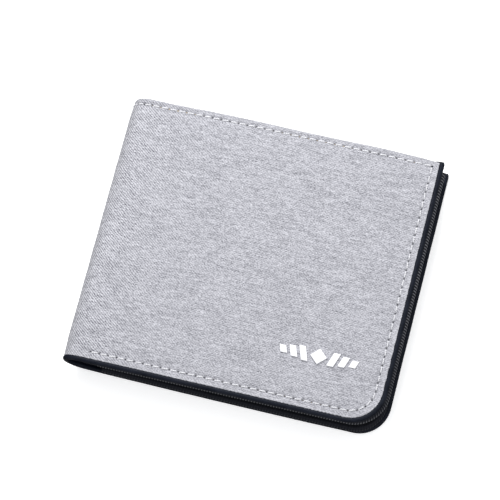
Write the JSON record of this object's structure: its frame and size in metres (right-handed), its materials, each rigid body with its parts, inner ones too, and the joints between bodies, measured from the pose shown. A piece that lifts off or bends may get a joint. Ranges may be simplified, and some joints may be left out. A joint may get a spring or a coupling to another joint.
{
  "type": "bifold wallet",
  "caption": "Bifold wallet with a canvas cover, leather edge binding, banknote compartment, stepped card pockets and a clear window, folding open flat on its spine.",
  "frame": {"origin": "centre of the closed wallet's bottom face, which is the outside of the rear cover", "axes": "+X from the rounded spine to the opening edge, +Y to the edge where the banknotes go in, +Z out of the front cover"},
  "size_m": [0.1164, 0.0984, 0.0164],
  "materials": {
    "canvas": "heather twill",
    "edge_leather": "satin",
    "pocket_leather": "fine grain, satin",
    "lining": "plain weave",
    "ribbed_tape": "ribbed",
    "board": "matt",
    "clear_film": "clear",
    "thread": "twisted",
    "badge": "raised print"
  },
  "bodies": {
    "rear_wing": {"rear_card_pocket": "pocket_leather", "rear_cover_board": "board", "rear_cover_canvas": "canvas", "rear_cover_lining": "lining", "rear_cover_thread": "thread", "rear_edge_binding": "edge_leather", "rear_inner_binding": "ribbed_tape", "rear_panel_base": "pocket_leather", "rear_partition": "lining", "rear_pocket_welts": "pocket_leather", "rear_window_film": "clear_film", "rear_window_frame": "pocket_leather"},
    "spine_strip_1": {"spine_binding_1": "edge_leather", "spine_canvas_1": "canvas", "spine_lining_1": "lining", "spine_partition_1": "lining", "spine_thread_1": "thread"},
    "spine_strip_2": {"spine_binding_2": "edge_leather", "spine_canvas_2": "canvas", "spine_lining_2": "lining", "spine_partition_2": "lining", "spine_thread_2": "thread"},
    "spine_strip_3": {"spine_binding_3": "edge_leather", "spine_canvas_3": "canvas", "spine_lining_3": "lining", "spine_partition_3": "lining", "spine_thread_3": "thread"},
    "front_wing": {"front_badge": "badge", "front_card_pocket_bottom": "pocket_leather", "front_card_pocket_middle": "pocket_leather", "front_card_pocket_top": "pocket_leather", "front_cover_board": "board", "front_cover_canvas": "canvas", "front_cover_lining": "lining", "front_cover_thread": "thread", "front_edge_binding": "edge_leather", "front_inner_binding": "ribbed_tape", "front_panel_base": "pocket_leather", "front_partition": "lining", "front_pocket_welts": "pocket_leather"}
  },
  "joints": [
    {"name": "spine_fold_1", "type": "hinge", "parent": "rear_wing", "child": "spine_strip_1", "pos_m": [-0.05339, 0, 0.00042], "axis": [0, -1, 0], "range_deg": [0, 45]},
    {"name": "spine_fold_2", "type": "hinge", "parent": "spine_strip_1", "child": "spine_strip_2", "pos_m": [-0.05783, 0, 0.00486], "axis": [0, -1, 0], "range_deg": [0, 45]},
    {"name": "spine_fold_3", "type": "hinge", "parent": "spine_strip_2", "child": "spine_strip_3", "pos_m": [-0.05783, 0, 0.01114], "axis": [0, -1, 0], "range_deg": [0, 45]},
    {"name": "spine_fold_4", "type": "hinge", "parent": "spine_strip_3", "child": "front_wing", "pos_m": [-0.05339, 0, 0.01558], "axis": [0, -1, 0], "range_deg": [0, 45]}
  ],
  "couplings": [
    {"joint": "spine_fold_2", "follows": "spine_fold_1", "ratio": 1},
    {"joint": "spine_fold_3", "follows": "spine_fold_1", "ratio": 1},
    {"joint": "spine_fold_4", "follows": "spine_fold_1", "ratio": 1}
  ]
}
